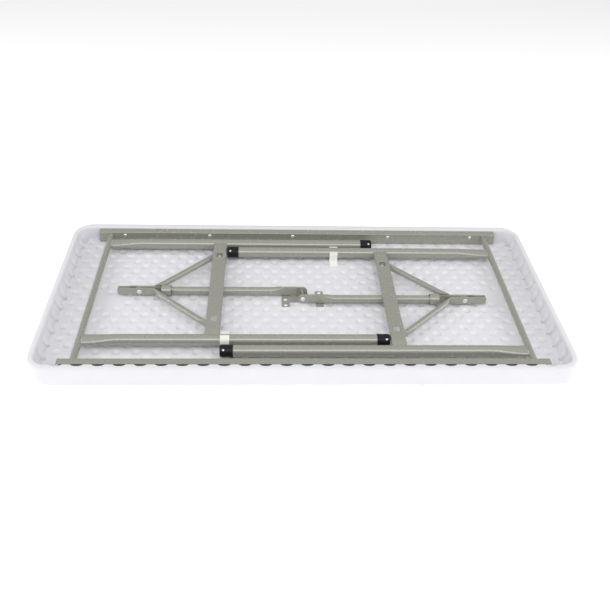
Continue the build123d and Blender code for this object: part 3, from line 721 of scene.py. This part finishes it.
def brace_shape():
    """A sheet channel as a grid over its developed width, left open at the two windows."""
    half_w, half_window = BRACE_W / 2, WINDOW_W / 2
    rolled = [(-half_w, -BRACE_DEPTH)]
    for k in range(0, 5):
        angle = k / 4 * math.pi / 2
        rolled.append((-half_w + FLANGE_R * (1 - math.cos(angle)), -FLANGE_R + FLANGE_R * math.sin(angle)))
    flange_count = len(rolled)
    margin = half_window + WINDOW_MARGIN
    rolled += [(x, 0.0) for x in (-margin, -half_window, -half_window / 2)]
    rolled += [(x, 0.0) for x in (0.0, half_window / 2, half_window, margin)]
    rolled += [(-x, z) for x, z in reversed(rolled[:flange_count])]
    stations = brace_stations()
    width = len(rolled)
    verts, faces = [], []
    for y in stations:
        # the outer flange is cut away where the arms pass under it
        notched = any(abs(y - notch_middle(side)) < NOTCH_L / 2 for side in (-1, 1))
        for x, z in rolled:
            level = max(z, 0.0) if notched and x < 0 else z
            verts.append((BRACE_X + x, coped(y, z), BRACE_TOP + level - BRACE_DROP))
    for j in range(len(stations) - 1):
        middle = (stations[j] + stations[j + 1]) / 2
        at_window = any(abs(middle - window_middle(side)) < WINDOW_L / 2 for side in (-1, 1))
        for i in range(width - 1):
            over_eye = abs(rolled[i][0] + rolled[i + 1][0]) / 2 < half_window
            if not (at_window and over_eye):
                low = j * width + i
                faces.append((low, low + 1, low + 1 + width, low + width))
    return verts, faces


def lug_shape(side):
    """The lug lanced down from the far edge of a window, with a round end about the rivet."""
    y_in = FRAME_Y + side * LUG_Y
    outline = [(-LUG_NECK, BRACE_TOP - 0.8), (LUG_NECK, BRACE_TOP - 0.8), (LUG_R, ARM_PIVOT_Z)]
    for k in range(1, 12):
        angle = k / 12 * math.pi
        outline.append((LUG_R * math.cos(angle), ARM_PIVOT_Z - LUG_R * math.sin(angle)))
    outline.append((-LUG_R, ARM_PIVOT_Z))
    verts = [(BRACE_X + x, y_in, z) for x, z in outline]
    verts += [(BRACE_X + x, y_in + side * BRACE_T, z) for x, z in outline]
    count = len(outline)
    faces = [tuple(range(count)), tuple(range(count, 2 * count))]
    faces += [(k, (k + 1) % count, count + (k + 1) % count, count + k) for k in range(count)]
    return verts, faces


def collar_shape(side):
    """The burr raised round a window where the punch came through."""
    verts, around, section = [], 40, 8
    for k in range(around):
        angle = 2 * math.pi * (k + 0.5) / around
        c, s = math.cos(angle), math.sin(angle)
        x = (WINDOW_W / 2) * math.copysign(abs(c) ** 0.3, c)
        y = (WINDOW_L / 2) * math.copysign(abs(s) ** 0.3, s)
        for j in range(section):
            lean = 2 * math.pi * j / section
            grow = 1 + COLLAR * math.cos(lean) / (WINDOW_W / 2)
            z = BRACE_TOP - 0.3 + COLLAR * 0.8 * math.sin(lean)
            verts.append((BRACE_X + x * grow, window_middle(side) + y * grow, z))
    return verts, hoop_faces(len(verts), section)


# ---- V brace, strut and ring ----
FLAT_POWER, ROUNDING = 9.0, 5.8  # power of an arm's flats, and how much less its tube has
APEX_TURN, EYE_TURN = (7, 30.0), (6, 26.0)  # steps and length of each change between flat and round
CATCH_STATIONS = (-5.4, -4.4, -2.0, 0.0, 2.0, 4.4, 5.4, 6.4)  # from the catch's middle
CATCH_HALF, CATCH_EDGE, JOGGLE_FROM, JOGGLE_TO = 4.4, 5.4, -4.0, 6.4
EYE_FLAT = 15.0  # an arm is flat from this far before its eye's middle
ARC_SHARE = 0.97  # how much of a quarter turn a rounded end takes, so that it doesn't close to a point


def arm_shape(side):
    """One arm of a V brace: a tube pressed flat at its tail and at its eye."""
    bar_y = STRUT_Y + side * ARM_OFFSET
    eye_y = FRAME_Y + side * ARM_SPREAD
    apex = Vector((APEX_X, bar_y, STRUT_Z))
    knee = Vector((BRACE_X - EYE_FLAT, eye_y, ARM_PIVOT_Z))
    run = (knee - apex).normalized()
    half_t, half_h, tube_r, eye_r = ARM_FLAT_T / 2, ARM_FLAT_H / 2, ARM_D / 2, ARM_EYE_H / 2
    sections = []

    def upright(x, y, z, b):
        """A section of the flat bar, square to X."""
        sections.append(((x, y, z), Y_AXIS, Z_AXIS, half_t, b, FLAT_POWER))

    def turned(centre, bend, a, b, power):
        """A section square to a heading between X and the arm's run."""
        heading = (Vector(X_AXIS) * (1 - bend) + run * bend).normalized()
        flat_side = Vector((-heading.y, heading.x, 0)).normalized()
        sections.append((tuple(centre), tuple(flat_side), tuple(heading.cross(flat_side)), a, b, power))

    closed_y = STRUT_Y + side * (half_t + TAIL_GAP / 2)  # beyond the strut's end the two bars close up
    for k in range(0, 6):
        angle = k / 5 * math.pi / 2
        drop = TAIL_CORNER_R * (1 - math.sin(angle))
        upright(TAIL_X + TAIL_CORNER_R * (1 - math.cos(angle)), closed_y, STRUT_Z, half_h - drop)
    # the catch, a step on one bar's lower edge and a notch in the other's; then the joggle outwards
    step = CATCH_H if side > 0 else -CATCH_H
    for along in CATCH_STATIONS:
        share = 1.0 - smoothstep(CATCH_HALF, CATCH_EDGE, abs(along))
        y = closed_y + (bar_y - closed_y) * smoothstep(JOGGLE_FROM, JOGGLE_TO, along)
        upright(CATCH_X + along, y, STRUT_Z - step * share / 2, half_h + step * share / 2)
    upright(APEX_X - 10.0, bar_y, STRUT_Z, half_h)
    steps, length = APEX_TURN
    for k in range(0, steps + 1):
        share = k / steps
        eased = smoothstep(0.0, 1.0, share)
        centre = apex + run * (share * length + 1.0) if k else apex
        a = half_t + (tube_r - half_t) * eased
        b = half_h + (tube_r - half_h) * eased
        turned(centre, min(1.0, share * 3), a, b, FLAT_POWER - ROUNDING * eased)
    steps, length = EYE_TURN
    for k in range(0, steps + 1):
        share = k / steps
        eased = smoothstep(0.0, 1.0, share)
        a = tube_r + (half_t - tube_r) * eased
        b = tube_r + (eye_r - tube_r) * eased
        power = FLAT_POWER - ROUNDING + ROUNDING * eased
        turned(knee - run * ((1 - share) * length), 1 - max(0.0, share * 3 - 2), a, b, power)
    upright(BRACE_X, eye_y, ARM_PIVOT_Z, eye_r)
    for k in range(1, 6):
        angle = k / 5 * math.pi / 2 * ARC_SHARE
        upright(BRACE_X + eye_r * math.sin(angle), eye_y, ARM_PIVOT_Z, eye_r * math.cos(angle))
    return loft(sections, FLAT_COUNT)


def strut_shape():
    """The strut: round tube, pressed flat with rounded ends at both pivots."""
    half_t, tube_r, waist = STRUT_FLAT_T / 2, STRUT_D / 2, STRUT_WAIST_T / 2
    outer, inner = STRUT_OUTER_H / 2, STRUT_INNER_H / 2
    sections = []

    def at(x, a, b, power):
        sections.append(((x, STRUT_Y, STRUT_Z), Y_AXIS, Z_AXIS, a, b, power))

    for k in range(0, 6):
        angle = (1 - ARC_SHARE * (1 - k / 5)) * math.pi / 2
        at(TOGGLE_X - outer * math.cos(angle), half_t, outer * math.sin(angle), STRUT_POWER)
    for x, half in ((WAIST_X[0] - 4.0, half_t), (WAIST_X[0], waist), (WAIST_X[1], waist)):
        at(x, half, outer, STRUT_POWER)
    start, length = OUTER_TURN
    for k in range(0, 7):
        share = smoothstep(0, 1, k / 6)
        a, b = waist + (tube_r - waist) * share, outer + (tube_r - outer) * share
        at(start + length * k / 6, a, b, STRUT_POWER + (TUBE_POWER - STRUT_POWER) * share)
    start, length = INNER_TURN
    for k in range(0, 8):
        share = smoothstep(0, 1, k / 7)
        a, b = tube_r + (half_t - tube_r) * share, tube_r + (inner - tube_r) * share
        at(start + length * k / 7, a, b, TUBE_POWER + (STRUT_POWER - TUBE_POWER) * share)
    for k in range(0, 6):
        angle = (1 - ARC_SHARE * k / 5) * math.pi / 2
        at(inner * math.cos(angle), half_t, inner * math.sin(angle), STRUT_POWER)
    return loft(sections, FLAT_COUNT)


def ring_shape(x):
    """The lock ring: a short sleeve with rolled edges, lying on the strut."""
    out_r, in_r, half = RING_OD / 2, RING_ID / 2, RING_L / 2
    lip = [(in_r, 0.8), (in_r + 0.35, 0.1), (out_r - 0.55, 0.0), (out_r - 0.1, 0.5), (out_r, 1.2)]
    profile = [(radius, -half + away) for radius, away in lip]
    profile += [(radius, half - away) for radius, away in reversed(lip)]
    return lathe(profile + profile[:1], (x, STRUT_Y, STRUT_Z + RING_LIFT), X_AXIS, ROUND_COUNT)


def make_legs(hand, flip, wide, narrow):
    """Both legs with their welds, foot caps and the rivets in the caps."""
    body, face = hand + "_leg_frame", 1 if flip else -1
    for reach, y in ((wide, LEG_Y_OUT), (narrow, -LEG_Y_IN)):
        tube, cap = hand + "_leg_" + reach, hand + "_foot_cap_" + reach
        shape = merged(leg_shape(y), weld_shape(y))
        piece(hand + "_leg_tube_" + reach, *shape, body, "powder_coat", [tube], flip)
        piece(hand + "_foot_" + reach, *cap_shape(y), body, "black_plastic", [cap], flip, smooth_angle=50)
    heads = merged(shoulder_rivet(LEG_Y_OUT, face), shoulder_rivet(-LEG_Y_IN, face))
    piece(hand + "_foot_rivets", *heads, body, "zinc_steel", [hand + "_cap_rivets"], flip)


def make_brace(hand, flip, wide, narrow):
    """The cross brace with its lugs, the burrs of its windows and its rivets."""
    body, coat = hand + "_leg_frame", "powder_coat"
    channel = piece(hand + "_brace_channel", *brace_shape(), body, coat, [hand + "_cross_brace"], flip)
    sheet = channel.modifiers.new("sheet", "SOLIDIFY")
    sheet.thickness = BRACE_T * MM
    sheet.offset = -1
    soften(channel, 0.35)
    for side, label in ((1, wide), (-1, narrow)):
        piece(hand + "_brace_lug_" + label, *lug_shape(side), body, coat, (), flip, bevel=0.3)
        piece(hand + "_window_collar_" + label, *collar_shape(side), body, coat, (), flip)
    heads = []
    for side in (1, -1):
        for direction, away in ((side, LUG_Y + BRACE_T), (-side, ARM_SPREAD - 2.4)):
            seat = (BRACE_X, FRAME_Y + side * away, ARM_PIVOT_Z)
            heads.append(dome(seat, (0, direction, 0), radius=5.5, height=2.4, shank=3.0))
    piece(hand + "_brace_rivet_heads", *merged(*heads), body, "zinc_steel", [hand + "_brace_rivets"], flip)


def make_v_brace(hand, flip, wide, narrow):
    """Both arms of the V brace and the rivet through its tail."""
    body = hand + "_v_brace"
    for side, label in ((1, wide), (-1, narrow)):
        arm = hand + "_v_arm_" + label
        piece(hand + "_arm_" + label, *arm_shape(side), body, "powder_coat", [arm], flip, smooth_angle=50)
    heads = []
    for side in (1, -1):
        seat = (TOGGLE_X, STRUT_Y + side * (ARM_OFFSET + ARM_FLAT_T / 2), STRUT_Z)
        heads.append(dome(seat, (0, side, 0), radius=6.0, height=3.0, shank=3.0))
    piece(hand + "_toggle_heads", *merged(*heads), body, "zinc_steel", [hand + "_toggle_rivet"], flip)


def make_strut(hand, flip):
    """The strut and the ring that slides on it."""
    strut, ring = hand + "_strut", hand + "_lock_ring"
    piece(strut + "_tube", *strut_shape(), hand + "_strut_arm", "powder_coat", [strut], flip, smooth_angle=50)
    ring_x = -RING_X[hand] if flip else RING_X[hand]
    piece(hand + "_ring_sleeve", *ring_shape(ring_x), hand + "_ring", "powder_coat", [ring], flip)


for hand in SIDES:
    flip = hand == "right"
    wide, narrow = ("front", "back") if flip else ("back", "front")
    make_legs(hand, flip, wide, narrow)
    make_brace(hand, flip, wide, narrow)
    make_v_brace(hand, flip, wide, narrow)
    make_strut(hand, flip)


# ---- leg clips ----
def clip_shape(x, y, inward):
    """A moulded snap clip: a foot, a cradle, a short inner jaw and a long one curled over the leg."""

    def arc(radius, *angles):
        turns = [math.radians(degrees) for degrees in angles]
        return [(radius * math.cos(turn), PIVOT_Z + radius * math.sin(turn)) for turn in turns]

    outer_r, tongue_z = CLIP_BORE + CLIP_T, PANEL_Z + CLIP_T
    outline = [(-12.5, PANEL_Z), (CLIP_TONGUE, PANEL_Z), (CLIP_TONGUE, tongue_z), (23.0, tongue_z)]
    outline += [(18.5, tongue_z + 1.2), (16.6, tongue_z + 4.0)]
    outline += arc(outer_r, *range(-20, 37, 8)) + [(14.9, PIVOT_Z + 12.6), (13.6, PIVOT_Z + 12.4)]
    outline += arc(CLIP_BORE, *range(36, -60, -8), -64) + [(6.0, CLIP_SEAT), (-6.0, CLIP_SEAT)]
    outline += arc(CLIP_BORE, *range(-116, -263, -8)) + arc(outer_r - 0.6, -262)
    outline += arc(outer_r, *range(-260, -150, 8))
    count = len(outline)
    verts = [(x + half, y + inward * a, z) for half in (-CLIP_W / 2, CLIP_W / 2) for a, z in outline]
    faces = [tuple(range(count)), tuple(range(2 * count - 1, count - 1, -1))]
    faces += [(k, k + count, (k + 1) % count + count, (k + 1) % count) for k in range(count)]
    return verts, faces


for name, (x, y, inward) in CLIP_PLACES.items():
    shape = clip_shape(x, y, inward)
    piece(name + "_hook", *shape, "table_top", "clip_nylon", [name], bevel=0.5, smooth_angle=35)

# ---- carried-over CAD nodes ----
SLOTS = {part["node"]: part["material_slot"] for part in frame["record"]["subparts"]}
for name, made in frame["nodes"].items():
    if name in CLIP_PLACES:
        continue
    made.data.materials.clear()
    made.data.materials.append(MATERIALS[SLOTS[name]])

# ---- floor and light ----
FLOOR_SIZE, FLOOR_GLOW, SKY_STRENGTH = 40, 0.35, 0.44
bpy.ops.mesh.primitive_plane_add(size=FLOOR_SIZE, location=(0, 0, 0))
floor = bpy.context.object
floor.name = "floor"
paper = bpy.data.materials.new("paper")
paper.use_nodes = True
paper_tree = paper.node_tree
paper_shader = paper_tree.nodes["Principled BSDF"]
paper_shader.inputs["Base Color"].default_value = (0.93, 0.93, 0.93, 1)
paper_shader.inputs["Roughness"].default_value = 0.9
paper_shader.inputs["Specular IOR Level"].default_value = 0.1
paper_shader.inputs["Emission Color"].default_value = (1, 1, 1, 1)
paper_shader.inputs["Emission Strength"].default_value = FLOOR_GLOW
floor.data.materials.append(paper)

world = bpy.data.worlds.new("studio")
world.use_nodes = True
world.node_tree.nodes["Background"].inputs["Color"].default_value = (1, 1, 1, 1)
world.node_tree.nodes["Background"].inputs["Strength"].default_value = SKY_STRENGTH
bpy.context.scene.world = world


def softbox(name, place, width, height, power):
    """A rectangular soft light pointed at the middle of the table."""
    light = bpy.data.lights.new(name, "AREA")
    light.shape = "RECTANGLE"
    light.size, light.size_y = width, height
    light.energy = power
    made = bpy.data.objects.new(name, light)
    made.location = place
    made.rotation_euler = (-Vector(place)).to_track_quat("-Z", "Y").to_euler()
    bpy.context.scene.collection.objects.link(made)


softbox("overhead", (0.0, 0.4, 2.2), 4.0, 2.0, power=6.0)
softbox("front", (0.0, -1.9, 2.1), 4.0, 1.4, power=38.0)
for name, x in (("left", -2.6), ("right", 2.6)):
    softbox(name, (x, 0.0, 1.3), 1.8, 1.4, power=24.0)
